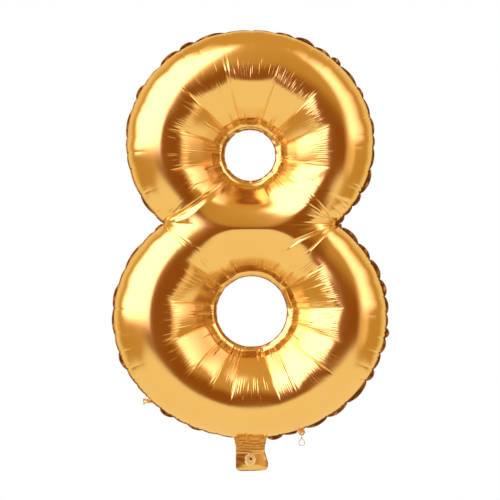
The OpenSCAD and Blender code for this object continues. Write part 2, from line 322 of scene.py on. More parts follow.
def valleyDrop(valley, x, z, mirror):
    # a fold line: deepest on its path, steep above and easier below
    d, side, along = pathDistance([(mirror * px, pz) for px, pz in valley["path"]], x, z)
    width = np.where(side * mirror > 0, valley["above"], valley["below"])
    form = np.clip(1 - d / width, 0, None) ** 1.4
    taper = smoothStep(0.0, 0.16, along) * (1 - smoothStep(valley["easeFrom"], 1.0, along))
    return valley["depth"] * form * taper


def filmHeight(x, z, name):
    # soft maximum of both loops and the crossing, minus the two valleys
    mirror = 1 if name == "front" else -1
    lists = creases[name]
    q = crossing["sharpness"]
    h1 = loopHeight(upper, x, z, lists[0])
    h2 = loopHeight(lower, x, z, lists[1])
    h3 = crossingHeight(x, z, mirror)
    h = (h1 ** q + h2 ** q + h3 ** q) ** (1 / q)
    drop = valleyDrop(leftValley, x, z, mirror) + valleyDrop(rightValley, x, z, mirror)
    rim = smoothStep(0, 9, outlineDepth(x, z))
    return np.clip(h - drop * rim, 0, None)


# puckers round the outer seam
def puckerAngles(loop, seed, first, last):
    # angles of the puckers along the loop's free side, at a pitch that wanders a little
    rng = np.random.default_rng(seed)
    step = math.degrees(wrinkle["scallopPitch"] / ((loop["a"] + loop["b"]) / 2))
    out, a = [], first + step * 0.6
    while a < last - step * 0.3:
        out.append(a)
        a += step * rng.uniform(0.55, 1.6)
    return np.array(out)


def freeStart(loop):
    # the seam ellipse's own angle at the pinch: arcsine of the height over the half axis
    return math.degrees(math.asin((pinchZ - loop["cz"]) / loop["b"]))


a0 = freeStart(upper)
b0 = freeStart(lower)
upper["puckers"] = puckerAngles(upper, 3, a0, 180 - a0)
lower["puckers"] = puckerAngles(lower, 8, 180 - b0, 360 + b0)
upper["from"], upper["to"] = a0, 180 - a0
lower["from"], lower["to"] = 180 - b0, 360 + b0


def betweenPuckers(loop, seamAngle):
    # number of the stretch between two puckers, and the place along it from 0 to 1
    ends = np.concatenate([[loop["from"]], loop["puckers"], [loop["to"]]])
    k = np.clip(np.searchsorted(ends, seamAngle, side="right") - 1, 0, len(ends) - 2)
    return k, np.clip((seamAngle - ends[k]) / (ends[k + 1] - ends[k]), 0, 1)


def scallopAt(loop, seamAngle):
    # how far the film's rim is drawn in: nothing between two puckers, full at each, with a cusp
    k, u = betweenPuckers(loop, seamAngle)
    return wrinkle["scallop"] * (1 - np.sin(np.pi * u) ** 0.5)


def marginWidth(loop, seamAngle):
    # width of the sealed margin: a low arch between two puckers, tucked away at each pucker
    k, u = betweenPuckers(loop, seamAngle)
    rng = np.random.default_rng(len(loop["puckers"]) * 7)
    ends = np.concatenate([[loop["from"]], loop["puckers"], [loop["to"]]])
    rightward = np.cos(np.radians((ends[1:] + ends[:-1]) / 2))
    size = np.clip(rng.uniform(0.0, 1.1, len(ends) - 1) + margin["rightward"] * rightward, 0.1, 1)
    return margin["least"] + (margin["most"] - margin["least"]) * size[k] * np.sin(np.pi * u) ** 0.55


def edgeRing(loop, steps):
    # points of the free side at the seam, with the seam ellipse's own angle for each
    a = np.linspace(loop["from"], loop["to"], steps + 1)
    r = np.radians(a)
    x = loop["a"] * np.cos(r)
    z = loop["cz"] + loop["b"] * np.sin(r)
    return x, z, a


def inward(loop, x, z):
    # unit vector from the edge towards the loop's middle
    dx, dz = -x, loop["cz"] - z
    n = np.hypot(dx, dz)
    return dx / n, dz / n


def loopGrid(loop, rightToLeft):
    # edge points all round one loop, then straight lines in to the hole; rows run from hole to edge
    e = envelope
    x, z, a = edgeRing(loop, e["arcSteps"])
    k = np.arange(1, e["waistSteps"]) / e["waistSteps"]
    wx = pinchX * np.cos(np.pi * k) * (1 if rightToLeft else -1)
    ex = np.concatenate([x, wx])
    ez = np.concatenate([z, np.full(wx.shape, pinchZ)])
    ea = np.concatenate([a, np.full(wx.shape, np.nan)])
    onWaist = np.concatenate([np.zeros(x.shape), smoothStep(0.0, 0.12, np.minimum(k, 1 - k))])
    theta = np.arctan2(ez - loop["hz"], ex - loop["hx"])
    hx = loop["hx"] + loop["hr"] * np.cos(theta)
    hz = loop["hz"] + loop["hr"] * np.sin(theta)
    c = e["crestAt"]
    foot = np.linspace(0, 0.13, e["footSteps"] + 1)[:-1]
    flat = np.linspace(0.13, 0.42, e["panelSteps"] + 1)[:-1]
    a = np.linspace(math.asin((0.42 - c) / (1 - c)), math.pi / 2, e["rimSteps"] + 1)
    tRim = np.concatenate([foot, flat, c + (1 - c) * np.sin(a)])
    even = np.concatenate([foot, np.linspace(0.13, 1, e["panelSteps"] + e["rimSteps"] + 1)])
    t = tRim[None, :] * (1 - onWaist[:, None]) + even[None, :] * onWaist[:, None]
    gridX = hx[:, None] * (1 - t) + ex[:, None] * t
    gridZ = hz[:, None] * (1 - t) + ez[:, None] * t
    return gridX, gridZ, t, ea, onWaist


def grooveForm(s):
    # a V with a small raised lip on both sides, s is the distance over the width
    return np.clip(1 - np.abs(s), 0, None) ** 1.5 - 0.22 * np.exp(-((np.abs(s) - 1.15) / 0.45) ** 2)


def loopWrinkles(loop, gridX, gridZ, t, ea, name, which):
    # depth of all fine creases over one loop's grid: facet creases, hairlines at their ends, rim puckers
    rng = np.random.default_rng({"front": 21, "back": 57}[name] + which)
    creaseList = creases[name][which]
    dx, dz = gridX - loop["hx"], gridZ - loop["hz"]
    r = np.hypot(dx, dz)
    deg = np.degrees(np.arctan2(dz, dx))
    depth = np.zeros(gridX.shape)
    w = wrinkle
    order = sorted((a % 360.0, reach, sag) for a, reach, sag in creaseList)
    for a, reach, sag in order:
        bend = rng.uniform(-3, 3)
        centre = a + bend * smoothStep(loop["hr"], reach, r) ** 2
        off = np.radians(wrapDegrees(deg - centre)) * r
        width = w["grooveWidth"] * (0.75 + 0.5 * smoothStep(loop["hr"], reach, r))
        run = smoothStep(loop["hr"] + 0.5, loop["hr"] + 7, r)
        run = run * (1 - smoothStep(reach * 0.8, reach * 1.04, r))
        depth += w["grooveDepth"] * (0.6 + 0.6 * sag) * grooveForm(off / width) * run
    # short folds from the hole seam between the long ones, and hairlines where the facets end
    for k, (a, reach, sag) in enumerate(order):
        nextA, nextReach, _ = order[(k + 1) % len(order)]
        span = (nextA - a) % 360.0
        if span > 60:
            continue
        for _ in range(2):
            at = a + span * rng.uniform(0.2, 0.8)
            end = loop["hr"] + rng.uniform(8, 22)
            off = np.radians(wrapDegrees(deg - at)) * r
            run = smoothStep(loop["hr"], loop["hr"] + 3, r) * (1 - smoothStep(end - 7, end, r))
            depth += 0.4 * rng.uniform(0.4, 1) * grooveForm(off / 1.1) * run
        middle = (reach + nextReach) / 2
        count = max(3, int(math.radians(span) * middle * 0.95 / w["fringePitch"]))
        for m in range(count):
            u = (m + rng.uniform(0.1, 0.9)) / count
            at = a + span * u
            out = (reach * (1 - u) + nextReach * u) * rng.uniform(0.84, 1.0)
            length = rng.uniform(7, 16)
            if rng.uniform() < 0.15:
                length *= 1.5
            off = np.radians(wrapDegrees(deg - at - rng.uniform(-0.05, 0.05) * (r - out))) * r
            run = smoothStep(out - length, out - length * 0.45, r) * (1 - smoothStep(out - 3, out + 2, r))
            depth += w["fringeDepth"] * rng.uniform(0.35, 1.25) * grooveForm(off / w["fringeWidth"]) * run
    # puckers: each runs in from the seam and fades
    inFrom = (1 - t) * (reachAt(loop, np.radians(deg)) - loop["hr"])
    for a in loop["puckers"]:
        px = loop["a"] * math.cos(math.radians(a)) - loop["hx"]
        pz = loop["cz"] + loop["b"] * math.sin(math.radians(a)) - loop["hz"]
        for side in (-1, 0, 1):
            strength = rng.uniform(0.15, 0.6) if rng.uniform() < 0.72 else rng.uniform(0.9, 1.5)
            at = math.degrees(math.atan2(pz, px)) + side * rng.uniform(1.2, 2.6)
            reachIn = w["puckerReach"] * rng.uniform(0.5, 1.3)
            off = np.radians(wrapDegrees(deg - at)) * r
            run = (1 - smoothStep(0, reachIn, inFrom)) ** 1.3
            depth += w["puckerDepth"] * strength * grooveForm(off / w["puckerWidth"]) * run
    return depth


fan = {"count": 9, "reach": 38.0, "depth": 0.42, "width": 0.9, "leftShare": 0.8}


def fanFolds(x, z, side, seed):
    # folds that spread from a waist pinch like a fan, side is 1 right or -1 left
    rng = np.random.default_rng(seed)
    dx, dz = (x - side * pinchX) * -side, z - pinchZ
    r = np.hypot(dx, dz)
    deg = np.degrees(np.arctan2(dz, dx))
    depth = np.zeros(x.shape)
    for k in range(fan["count"]):
        at = -52 + 104 * (k + rng.uniform(0.2, 0.8)) / fan["count"]
        reach = fan["reach"] * rng.uniform(0.55, 1.2)
        off = np.radians(deg - at) * r
        run = smoothStep(1, 6, r) * (1 - smoothStep(reach * 0.5, reach, r)) * (np.abs(deg - at) < 60)
        width = fan["width"] * (0.6 + r / 40)
        depth += fan["depth"] * rng.uniform(0.5, 1.1) * grooveForm(off / width) * run
    return depth


def surfaceNormals(points):
    # cross product of the two grid directions, rows close up round the loop
    du = np.roll(points, -1, axis=0) - np.roll(points, 1, axis=0)
    dv = np.gradient(points, axis=1)
    n = np.cross(du, dv)
    return n / np.maximum(np.linalg.norm(n, axis=2, keepdims=True), 1e-9)


def shapeLoop(loop, name, which):
    # one loop's film: base height, pushed in along its own normal by the wrinkle depth, rim drawn in
    gridX, gridZ, t, ea, onWaist = loopGrid(loop, which == 1)
    side = -1 if name == "front" else 1
    h = filmHeight(gridX, gridZ, name)
    points = np.stack([gridX, side * (envelope["filmGap"] + h), gridZ], axis=2)
    n = surfaceNormals(points)
    n = n * np.sign(n[:, :, 1:2] * side + 1e-12)
    fade = 1 - onWaist[:, None] * smoothStep(0.55, 0.9, t)
    depth = loopWrinkles(loop, gridX, gridZ, t, ea, name, which) * fade
    depth += fanFolds(gridX, gridZ, 1, 5) + fan["leftShare"] * fanFolds(gridX, gridZ, -1, 6)
    depth *= smoothStep(0, 0.02, t)
    rim = np.sqrt(np.clip(1 - t, 0, 1))
    depth *= np.where(onWaist[:, None] > 0, 1, smoothStep(0, 0.12, rim) * 0.85 + 0.15)
    points = points - n * depth[:, :, None]
    points[:, :, 1] = side * np.maximum(side * points[:, :, 1], envelope["filmGap"])
    # the rim follows the scalloped seam
    a = np.where(np.isnan(ea), 0, ea)
    pull = np.where(np.isnan(ea), 0, scallopAt(loop, a))
    ix, iz = inward(loop, gridX[:, -1], gridZ[:, -1])
    share = smoothStep(0.72, 1.0, t) * pull[:, None]
    points[:, :, 0] += ix[:, None] * share
    points[:, :, 2] += iz[:, None] * share
    lift = seamWave(loop, a) * np.where(np.isnan(ea), 0, 1)
    points[:, :, 1] += lift[:, None] * smoothStep(0.8, 1.0, t)
    return points


def seamWave(loop, seamAngle):
    # the seam line wanders to the front and back, about one wave to two puckers, and rests at the waist
    k = (seamAngle - loop["from"]) / (loop["to"] - loop["from"])
    n = len(loop["puckers"])
    hold = smoothStep(0, 0.04, k) * (1 - smoothStep(0.96, 1, k))
    return 0.55 * np.sin(2 * np.pi * k * n * 0.5 + 1.3) * hold


def newMesh(name, verts, faces, material):
    # verts in mm as an (n, 3) array, faces as an array of quads
    mesh = bpy.data.meshes.new(name)
    mesh.from_pydata((np.asarray(verts) * mm).tolist(), [], np.asarray(faces).tolist())
    mesh.polygons.foreach_set("use_smooth", np.full(len(mesh.polygons), True))
    mesh.materials.append(material)
    mesh.update()
    obj = bpy.data.objects.new(name, mesh)
    scene.collection.objects.link(obj)
    return obj


def gridFaces(idx, closed, flip):
    # quads of an index grid; closed joins the last row to the first
    a = idx if not closed else np.vstack([idx, idx[:1]])
    q = np.stack([a[:-1, :-1], a[1:, :-1], a[1:, 1:], a[:-1, 1:]], axis=-1).reshape(-1, 4)
    return q[:, ::-1] if flip else q


def makePanel(name, material):
    # both loops' grids share their vertices along the waist line, so the figure is one sheet
    up = shapeLoop(upper, name, 0)
    lo = shapeLoop(lower, name, 1)
    n, m, _ = up.shape
    arc = envelope["arcSteps"]
    upIdx = np.arange(n * m).reshape(n, m)
    loIdx = upIdx + n * m
    waist = np.arange(arc + 1, n)
    # lower loop's waist runs the other way round
    match = n + arc - waist
    lastUp = upIdx[:, -1]
    pairs = np.concatenate([waist, [0, arc]])
    mates = np.concatenate([match, [arc, 0]])
    mean = (up[pairs, -1] + lo[mates, -1]) / 2
    up[pairs, -1] = mean
    loIdx[mates, -1] = lastUp[pairs]
    verts = np.vstack([up.reshape(-1, 3), lo.reshape(-1, 3)])
    flip = name == "front"
    faces = np.vstack([gridFaces(upIdx, True, flip), gridFaces(loIdx, True, flip)])
    used, inverse = np.unique(faces, return_inverse=True)
    return newMesh(name + "_panel", verts[used], inverse.reshape(faces.shape), material)


# materials
def makeFilmGroup():
    # film tone: slow colour drift, roughness drift and a fine crinkle height, all from object coordinates
    group = bpy.data.node_groups.new("filmTone", "ShaderNodeTree")
    for name, kind, value in (("Colour", "NodeSocketColor", (0.9, 0.6, 0.2, 1)),
                              ("Deep Colour", "NodeSocketColor", (0.6, 0.3, 0.1, 1)),
                              ("Rough", "NodeSocketFloat", 0.15), ("Drift", "NodeSocketFloat", 0.05),
                              ("Crinkle Scale", "NodeSocketFloat", 260.0)):
        socket = group.interface.new_socket(name=name, in_out="INPUT", socket_type=kind)
        socket.default_value = value
    for name, kind in (("Colour", "NodeSocketColor"), ("Roughness", "NodeSocketFloat"),
                       ("Height", "NodeSocketFloat")):
        group.interface.new_socket(name=name, in_out="OUTPUT", socket_type=kind)
    nodes, links = group.nodes, group.links
    inner, outer = nodes.new("NodeGroupInput"), nodes.new("NodeGroupOutput")
    coord = nodes.new("ShaderNodeTexCoord")
    slow = nodes.new("ShaderNodeTexNoise")
    slow.inputs["Scale"].default_value = 22.0
    slow.inputs["Detail"].default_value = 3.0
    links.new(coord.outputs["Object"], slow.inputs["Vector"])
    mix = nodes.new("ShaderNodeMix")
    mix.data_type = "RGBA"
    links.new(slow.outputs["Fac"], mix.inputs["Factor"])
    links.new(inner.outputs["Colour"], mix.inputs[6])
    links.new(inner.outputs["Deep Colour"], mix.inputs[7])
    links.new(mix.outputs[2], outer.inputs["Colour"])
    rough = nodes.new("ShaderNodeMath")
    rough.operation = "MULTIPLY_ADD"
    links.new(slow.outputs["Fac"], rough.inputs[0])
    links.new(inner.outputs["Drift"], rough.inputs[1])
    links.new(inner.outputs["Rough"], rough.inputs[2])
    links.new(rough.outputs[0], outer.inputs["Roughness"])
    crinkle = nodes.new("ShaderNodeTexNoise")
    crinkle.inputs["Detail"].default_value = 4.0
    crinkle.inputs["Roughness"].default_value = 0.55
    links.new(coord.outputs["Object"], crinkle.inputs["Vector"])
    links.new(inner.outputs["Crinkle Scale"], crinkle.inputs["Scale"])
    links.new(crinkle.outputs["Fac"], outer.inputs["Height"])
    return group


filmGroup = makeFilmGroup()


def filmMaterial(name, colour, deep, rough, drift=0.06, crinkle=260.0, bump=0.05, metallic=1.0):
    # metallised film: the group gives colour, roughness and crinkle; the shader holds the fixed values
    m = bpy.data.materials.new(name)
    m.use_nodes = True
    nodes, links = m.node_tree.nodes, m.node_tree.links
    shader = nodes["Principled BSDF"]
    shader.inputs["Metallic"].default_value = metallic
    group = nodes.new("ShaderNodeGroup")
    group.node_tree = filmGroup
    group.inputs["Colour"].default_value = (*colour, 1)
    group.inputs["Deep Colour"].default_value = (*deep, 1)
    group.inputs["Rough"].default_value = rough
    group.inputs["Drift"].default_value = drift
    group.inputs["Crinkle Scale"].default_value = crinkle
    bumpNode = nodes.new("ShaderNodeBump")
    bumpNode.inputs["Strength"].default_value = bump
    bumpNode.inputs["Distance"].default_value = 0.0004
    links.new(group.outputs["Colour"], shader.inputs["Base Color"])
    links.new(group.outputs["Roughness"], shader.inputs["Roughness"])
    links.new(group.outputs["Height"], bumpNode.inputs["Height"])
    links.new(bumpNode.outputs["Normal"], shader.inputs["Normal"])
    return m


goldFilm = filmMaterial("goldFilm", (0.95, 0.712, 0.359), (0.909, 0.648, 0.301), 0.12)
seamFilm = filmMaterial("seamFilm", (0.372, 0.203, 0.081), (0.248, 0.127, 0.046), 0.22, crinkle=500.0,
                        bump=0.15)
tailFilm = filmMaterial("tailFilm", (0.95, 0.724, 0.394), (0.826, 0.559, 0.231), 0.11, crinkle=420.0,
                        bump=0.06)

# panels
frontPanel = makePanel("front", goldFilm)
backPanel = makePanel("back", goldFilm)
for piece, node in ((frontPanel, "front_panel"), (backPanel, "back_panel")):
    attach(piece, "balloon")
    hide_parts(node)
print("panels", len(frontPanel.data.polygons))


def closedSolid(name, verts, faces, material):
    # a mesh whose faces point outward: the sum of face origins times normals must be positive
    v = np.asarray(verts, float)
    f = np.asarray(faces)
    a, b, c = v[f[:, 0]], v[f[:, 1]], v[f[:, 2]]
    volume = np.einsum("ij,ij->", a, np.cross(b, c))
    if f.shape[1] == 4:
        volume += np.einsum("ij,ij->", a, np.cross(c, v[f[:, 3]]))
    return newMesh(name, v, f if volume > 0 else f[:, ::-1], material)


def sweptRing(sections, closed=True):
    # faces between neighbouring sections, each a closed ring of points, given as an (n, m, 3) array
    n, m, _ = sections.shape
    idx = np.arange(n * m).reshape(n, m)
    wide = np.hstack([idx, idx[:, :1]])
    return gridFaces(wide, closed, False)


def bothFaces(x, y, z, half):
    # sections of a sheet: the front points at y - half, then the back points at y + half in reverse
    front = np.stack([x, y - half, z], axis=2)
    back = np.stack([x, y + half, z], axis=2)[:, ::-1]
    return np.concatenate([front, back], axis=1)


def cappedFaces(sections):
    # faces along a strip of closed sections, with one row of quads across its first and its last section
    n, m, _ = sections.shape
    k = np.arange(m // 2 - 1)
    faces = [sweptRing(sections, closed=False)]
    for row in (0, n - 1):
        quad = row * m + np.stack([k, k + 1, m - 2 - k, m - 1 - k], axis=1)
        faces.append(quad[:, ::-1] if row == 0 else quad)
    return np.vstack(faces)


tabBox = {side: [1000 * np.array(v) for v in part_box(side + "_hanging_tab")] for side in ("left", "right")}
tabPlaces = {
    "left": (tabBox["left"][0][0] + 4.6, (tabBox["left"][0][2] + tabBox["left"][1][2]) / 2 + 0.1),
    "right": ((tabBox["right"][0][0] + tabBox["right"][1][0]) / 2, tabBox["right"][0][2] + 3.3),
}


# the sealed margin round the outside
def marginSections(loop):
    # sections of the margin along one loop's free side: from just inside the film's rim out to the wavy edge
    steps = 900
    a = np.linspace(loop["from"], loop["to"], steps + 1)[:-1]
    r = np.radians(a)
    x, z = loop["a"] * np.cos(r), loop["cz"] + loop["b"] * np.sin(r)
    nx, nz = np.cos(r) / loop["a"], np.sin(r) / loop["b"]
    size = np.hypot(nx, nz)
    nx, nz = nx / size, nz / size
    pull = scallopAt(loop, a)
    ix, iz = inward(loop, x, z)
    x, z = x + ix * pull, z + iz * pull
    width = marginWidth(loop, a)
    for tabX, tabZ in (tabPlaces["left"], tabPlaces["right"]):
        near = smoothStep(3.0, 5.5, np.hypot(x - tabX, z - tabZ))
        width = margin["least"] + (width - margin["least"]) * near
    neck = smoothStep(12.5, 17, np.abs(x)) if loop is lower else np.ones(x.shape)
    neck = np.where(z < loop["cz"], neck, 1)
    width = margin["least"] * 0.6 + (width - margin["least"] * 0.6) * neck
    y = seamWave(loop, a)
    k, u = betweenPuckers(loop, a)
    share = np.linspace(-0.25, 1, margin["steps"] + 1)
    out = width[:, None] * share
    lean = -margin["curl"] * (np.clip(share, 0, 1) ** 2)[None, :] * (width / margin["most"])[:, None]
    lean = lean + 0.25 * np.sin(2 * np.pi * u * 2)[:, None] * np.clip(share, 0, 1)[None, :]
    half = margin["thickness"] / 2 * (1 - 0.5 * np.clip(share, 0, 1) ** 3)[None, :]
    return bothFaces(x[:, None] + nx[:, None] * out, y[:, None] + lean, z[:, None] + nz[:, None] * out, half)


def makeMargin():
    # both free sides one after the other make one closed ring; points past the waist notch are held at it
    up, lo = marginSections(upper), marginSections(lower)
    for part, sign in ((up, 1), (lo, -1)):
        past = sign * (part[:, :, 2] - pinchZ) < 0
        part[:, :, 2] = np.where(past, pinchZ, part[:, :, 2])
    sections = np.concatenate([up, lo])
    return closedSolid("outer_margin", sections.reshape(-1, 3), sweptRing(sections), seamFilm)


outerMargin = makeMargin()
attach(outerMargin, "balloon")
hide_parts("outer_seam")
print("margin")

# sealed rings round the holes
holeRing = {"upperClear": 22.0, "lowerClear": 30.5, "corner": 0.30, "ripple": 0.25, "cone": 0.8,
            "steps": 360, "thickness": 0.6}
ringFilm = filmMaterial("ringFilm", (0.909, 0.673, 0.37), (0.806, 0.559, 0.278), 0.16, crinkle=500.0,
                        bump=0.1)


def makeHoleRing(name, loop, clear, creaseList, seed):
    # band from the clear hole to the film; its inner edge is a polygon with a corner at each crease
    h = holeRing
    rng = np.random.default_rng(seed)
    theta = np.linspace(0, 2 * np.pi, h["steps"], endpoint=False)
    span, u, _, _ = facetData(creaseList, theta)
    chord = np.cos(span / 2) / np.cos((u - 0.5) * span)
    chord = np.where(span > 0.8, 1, chord)
    edge = clear * (1 + 0.004) * (1 - h["corner"] * (1 - chord))
    ripple = sum(rng.uniform(0.3, 1) * np.sin(k * theta + rng.uniform(0, 6)) for k in (7, 11, 16, 23)) / 3
    outside = loop["hr"] + 0.5
    share = np.array([0.0, 0.03, 0.12, 0.45, 0.8, 1.0])
    ringR = edge[:, None] * (1 - share) + outside * share
    half = h["thickness"] / 2 * np.array([0.25, 0.7, 1.0, 0.75, 0.55, 0.4])
    tilt = h["cone"] * smoothStep(0, 1, 1 - share) * (1 - 0.4 * smoothStep(0.9, 1.0, 1 - share))
    lift = (h["ripple"] * ripple)[:, None] * (1 - share) + tilt
    gridX = loop["hx"] + ringR * np.cos(theta)[:, None]
    gridZ = loop["hz"] + ringR * np.sin(theta)[:, None]
    sections = bothFaces(gridX, lift, gridZ, half)
    obj = closedSolid(name, sections.reshape(-1, 3), sweptRing(sections), ringFilm)
    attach(obj, "balloon")
    return obj


upperRing = makeHoleRing("upper_hole_ring", upper, holeRing["upperClear"], creases["front"][0], 4)
lowerRing = makeHoleRing("lower_hole_ring", lower, holeRing["lowerClear"], creases["front"][1], 9)
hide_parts("upper_hole_seam")
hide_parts("lower_hole_seam")
print("hole rings")

# tail: two films gathered at the neck, flat below, sealed round the edge
tailBox = [1000 * np.array(v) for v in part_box("tail_front_film")]
tail = {
    "top": 12.4, "neckHalf": 12.25, "foot": tailBox[0][2], "flare": tailBox[1][0],
    "corner": 4.0, "gatherDepth": 0.55, "gatherPitch": 2.35, "curl": 1.3, "seal": 2.4,
    "across": 110, "down": 150, "filmHalf": 0.36, "sheetHalf": 0.12,
}


def tailEdges(z):
    # left and right edge at height z: straight on the left, flaring on the right, rounded at the foot
    t = tail
    top = smoothStep(1, 12, z) * 2.4
    left = -t["neckHalf"] + 0.25 - top
    right = t["neckHalf"] + 0.3 + (t["flare"] - t["neckHalf"] - 0.3) * smoothStep(-1, -14, z) + top
    low = np.clip((t["foot"] + t["corner"] - z) / t["corner"], 0, 1)
    roundIn = t["corner"] * (1 - np.sqrt(1 - low ** 2))
    return left + roundIn, right - roundIn


def tailBend(x, z):
    # shared middle surface: right half leaning back, foot and right edge curled back, waves across the neck
    t = tail
    neck = smoothStep(-4.5, -1.5, z)
    lean = 0.075 * x + 0.20 * np.clip(x - 0.5, 0, None)
    footCurl = t["curl"] * smoothStep(t["foot"] + 2.7, t["foot"], z) ** 1.4
    left, right = tailEdges(z)
    edgeCurl = 0.9 * smoothStep(right - 2.6, right, x) ** 1.3
    wander = 0.22 * np.sin(x / 4.1 + 0.8) + 0.012 * x * np.sin(x / 7)
    wave = np.sin(2 * np.pi * (z / t["gatherPitch"] + wander))
    second = np.sin(2 * np.pi * (z / 1.45 + 0.35 * np.sin(x / 2.6)))
    hold = smoothStep(12.0, 9.5, z) * smoothStep(-4.6, -2.6, z)
    gather = t["gatherDepth"] * (0.8 * wave + 0.12 * second) * hold
    return (lean + footCurl + edgeCurl) * (1 - neck) + gather


def tailSheet(name, side, topZ, material):
    # one film of the tail as a thin solid: rows down, columns across, both faces and a closed edge
    t = tail
    v = np.linspace(0, 1, t["down"])
    z = topZ + (t["foot"] - topZ) * v
    left, right = tailEdges(z)
    u = np.linspace(0, 1, t["across"])
    gridX = left[:, None] + (right - left)[:, None] * u
    gridZ = np.repeat(z[:, None], t["across"], axis=1)
    puff = 0.35 * np.sin(np.pi * u)[None, :] * smoothStep(-17.5, -13, gridZ) * smoothStep(-1.0, -6.0, gridZ)
    crease = np.sin(gridX * 0.55 + gridZ * 0.5 + 1) * np.sin(gridZ * 0.6 - gridX * 0.3)
    crease = 0.035 * crease * smoothStep(-2, -5, gridZ)
    mid = tailBend(gridX, gridZ) + side * (t["filmHalf"] + puff) + crease
    sections = bothFaces(gridX, mid, gridZ, t["sheetHalf"])
    return closedSolid(name, sections.reshape(-1, 3), cappedFaces(sections), material)


def tailSeal():
    # welded band along both sides and the foot, a little proud of the films, as a swept closed section
    t = tail
    level = t["foot"] + t["corner"]
    z = np.linspace(6.5, level, 60)
    left, right = tailEdges(z)
    cornerL, cornerR = left[-1] + t["corner"], right[-1] - t["corner"]
    sweep = np.radians(np.linspace(180, 270, 14))[1:]
    footX = np.linspace(cornerL, cornerR, 40)[1:]

    def quarter(x, angles):
        # quarter circle round a corner's centre
        return np.stack([x + t["corner"] * np.cos(angles), level + t["corner"] * np.sin(angles)], axis=1)

    path = np.concatenate([
        np.stack([left, z], axis=1),
        quarter(cornerL, sweep),
        np.stack([footX, np.full(footX.shape, t["foot"])], axis=1),
        quarter(cornerR, sweep + np.pi / 2),
        np.stack([right, z], axis=1)[::-1][1:],
    ])
    d = np.gradient(path, axis=0)
    d /= np.hypot(d[:, 0], d[:, 1])[:, None]
    inside = np.stack([-d[:, 1], d[:, 0]], axis=1)
    share = np.array([-0.12, 0.0, 0.5, 1.0])
    points = path[:, None, :] + inside[:, None, :] * (share * t["seal"])[None, :, None]
    half = np.array([0.16, 0.5, 0.22, 0.1])[None, :]
    sections = bothFaces(points[:, :, 0], tailBend(points[:, :, 0], points[:, :, 1]), points[:, :, 1], half)
    return closedSolid("tail_seal", sections.reshape(-1, 3), cappedFaces(sections), seamFilm)


tailFront = tailSheet("tail_front", -1, tail["top"], tailFilm)
tailBack = tailSheet("tail_back", 1, tail["top"], tailFilm)
sealBand = tailSeal()
tailPieces = ((tailFront, "tail_front_film"), (tailBack, "tail_back_film"), (sealBand, "tail_edge_seal"))
for obj, node in tailPieces:
    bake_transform(obj)
    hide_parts(node)
print("tail")


# punched pieces: a thin sheet between a round hole and an outline, seen from the hole's middle
def rayToOutline(outline, centre, theta):
    # distance from the centre to a closed outline along each direction: the nearest crossing with an edge
    o = np.array(outline, float) - centre
    a, b = o, np.roll(o, -1, axis=0)
    d = np.stack([np.cos(theta), np.sin(theta)], axis=1)
    e = b - a
    cross = d[:, None, 0] * e[None, :, 1] - d[:, None, 1] * e[None, :, 0]
    cross = np.where(cross == 0, 1e-9, cross)
    out = (a[None, :, 0] * e[None, :, 1] - a[None, :, 1] * e[None, :, 0]) / cross
    share = (a[None, :, 0] * d[:, None, 1] - a[None, :, 1] * d[:, None, 0]) / cross
    hit = np.where((out > 0) & (share >= -1e-6) & (share <= 1 + 1e-6), out, 1e9)
    return hit.min(axis=1)


def punchedSheet(name, outline, centre, radius, place, thickness, bend, material, steps, rings):
    # rings of points from the hole out to the outline, front and back, bent by a function of x and z
    theta = np.linspace(0, 2 * np.pi, steps, endpoint=False)
    reach = rayToOutline(outline, np.array(centre), theta)
    share = np.linspace(0, 1, rings)
    ringR = radius + (reach[:, None] - radius) * share
    gridX = centre[0] + ringR * np.cos(theta)[:, None]
    gridZ = centre[1] + ringR * np.sin(theta)[:, None]
    half = thickness / 2 * np.where((share == 0) | (share == 1), 0.55, 1.0)
    sections = bothFaces(gridX + place[0], bend(gridX, gridZ) + place[1], gridZ + place[2], half)
    return closedSolid(name, sections.reshape(-1, 3), sweptRing(sections), material)


port = {"half": (4.75, 5.4), "hole": 1.15, "holeAt": (0.6, 0.8), "x": 0.17, "z": -9.3, "thickness": 0.3}
portFilm = filmMaterial("portFilm", (1.0, 0.93, 0.72), (0.94, 0.79, 0.50), 0.24, crinkle=900.0, bump=0.35,
                        metallic=0.8)
# near-black brown film for the dish in the inflation hole: painted shade
portHolePaintedShade = filmMaterial("portHolePaintedShade", (0.10, 0.045, 0.012), (0.06, 0.025, 0.006), 0.5, metallic=0.4)


def filmFront(x, z):
    # the tail's front film: its middle surface less half the gap and the swelling of a sine across
    return tailBend(x, z) - tail["filmHalf"] - 0.35 * np.sin(np.pi * np.clip((x + 12) / 26, 0, 1))


def makePort():
    # patch: an oval with a crinkled edge that lies on the front film
    a = np.linspace(0, 2 * np.pi, 72, endpoint=False)
    crinkle = 1 + 0.035 * np.sin(11 * a + 1) + 0.025 * np.sin(17 * a) + 0.02 * np.sin(5 * a + 2)
    outline = np.stack([port["half"][0] * np.cos(a), port["half"][1] * np.sin(a)], axis=1) * crinkle[:, None]

    def bend(x, z):
        # a low dome on the film, with ridges towards its edge
        r = np.hypot(x / port["half"][0], z / port["half"][1])
        ridges = 0.10 * np.sin(13 * np.arctan2(z, x)) * smoothStep(0.45, 0.95, r)
        return filmFront(x + port["x"], z + port["z"]) - 0.28 - 0.16 * (1 - r) + ridges

    return punchedSheet("port_patch", outline, port["holeAt"], port["hole"], (port["x"], 0, port["z"]),
                        port["thickness"], bend, portFilm, steps=220, rings=26)


portPatch = makePort()
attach(portPatch, "tail")
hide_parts("inflation_port")


